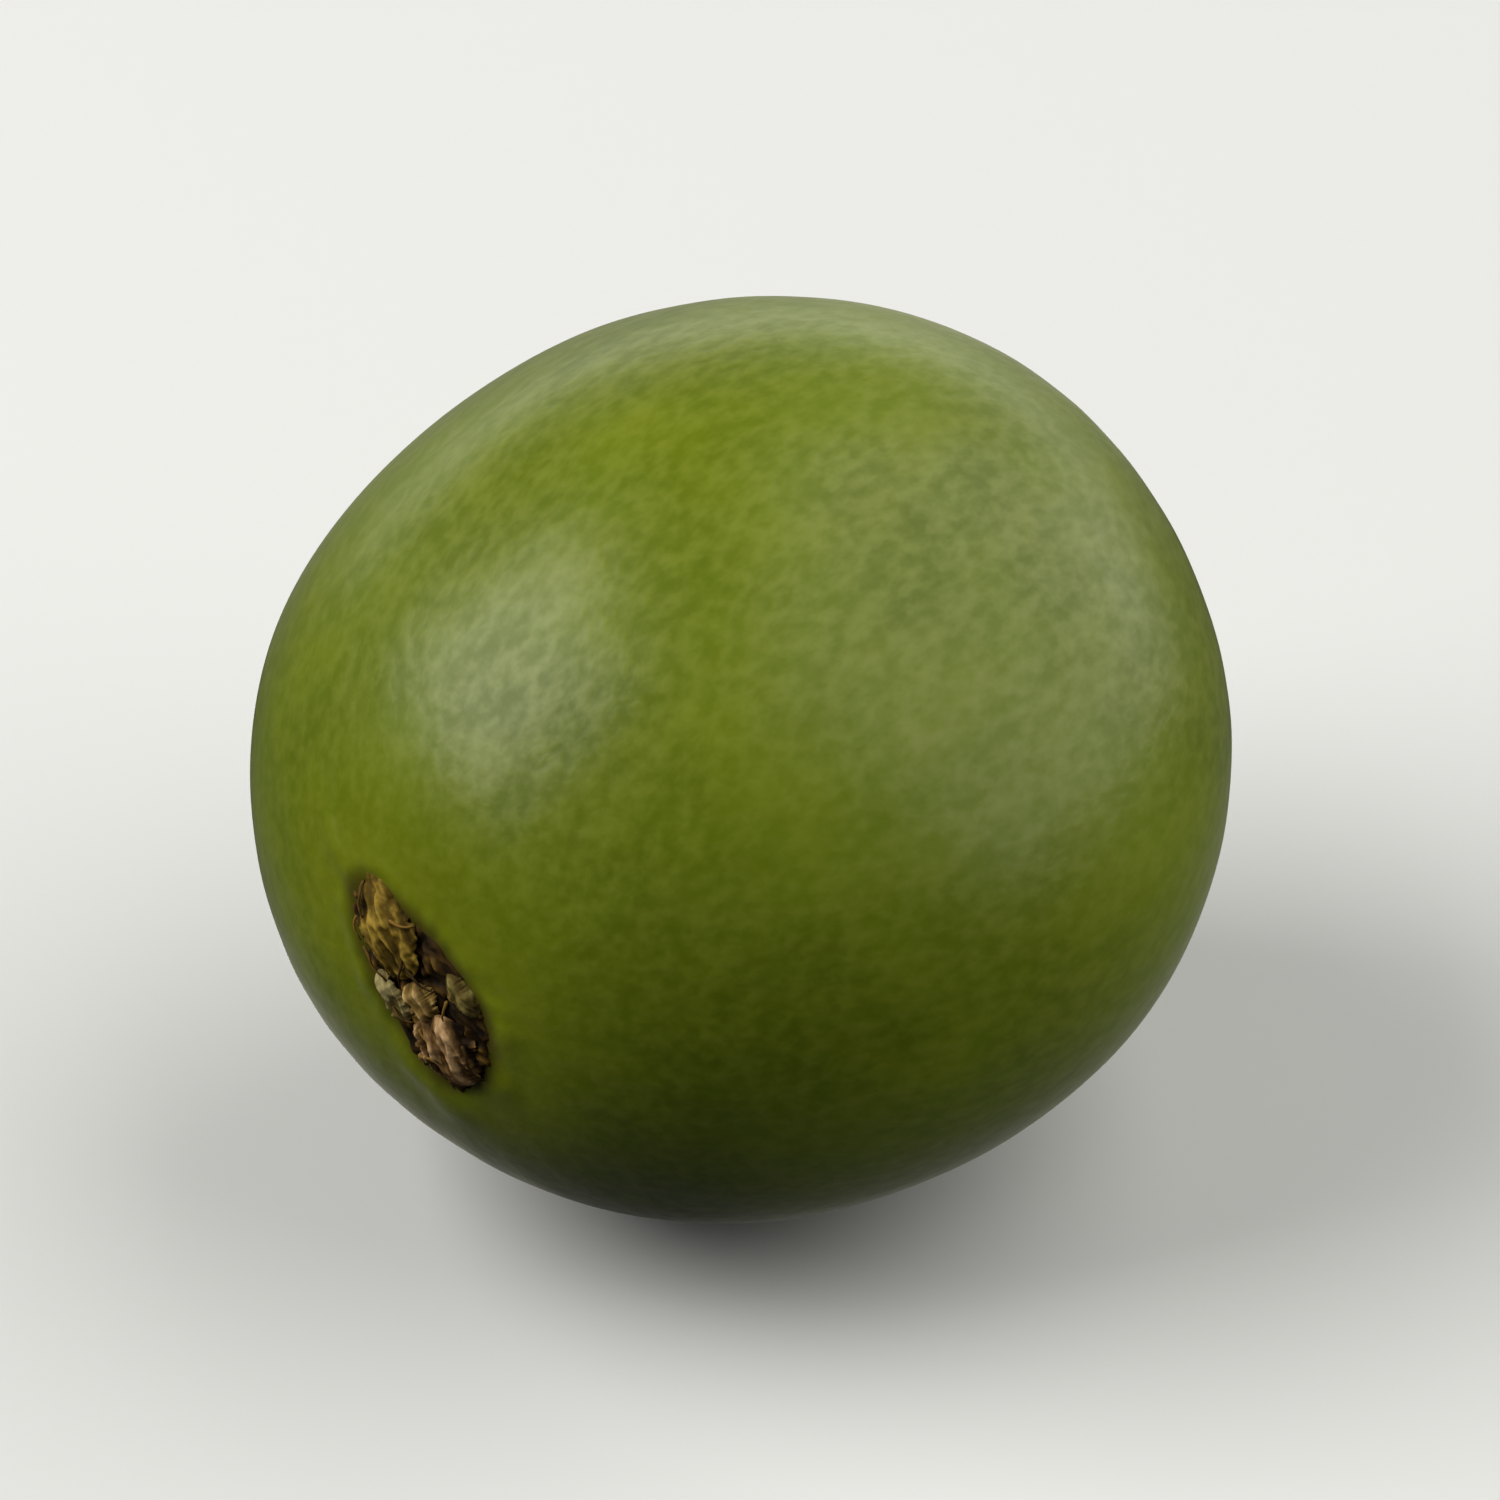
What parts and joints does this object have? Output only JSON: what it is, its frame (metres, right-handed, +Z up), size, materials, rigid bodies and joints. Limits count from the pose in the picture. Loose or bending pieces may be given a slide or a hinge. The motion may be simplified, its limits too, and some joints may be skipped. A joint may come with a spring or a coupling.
{
  "type": "kiwi berry",
  "caption": "Whole green kiwi berry: a smooth, slightly uneven oval fruit lying on its side, with a dried flower scar at one end and a torn stalk stub at the other.",
  "frame": {"origin": "on the ground, under the middle of the whole part's box", "axes": "+X along the fruit's axis from the dried flower end to the stalk end, +Z up from the small flat spot that the fruit lies on"},
  "size_m": [0.0286, 0.025, 0.0232],
  "materials": {
    "fruit_skin": "smooth satin green fruit skin with a thin waxy bloom",
    "woody_scar": "dark brown corky scar",
    "dried_scale": "dry crinkled tan and brown plant scale",
    "dry_stalk": "dry dark brown stalk with a torn end"
  },
  "bodies": {
    "root": {"fruit": "fruit_skin", "flower_scar": "woody_scar", "flower_scale_upper": "dried_scale", "flower_scale_lower": "dried_scale", "flower_scale_middle": "dried_scale", "flower_scale_left": "dried_scale", "flower_scale_right": "dried_scale", "stalk_stub": "dry_stalk"}
  },
  "joints": []
}
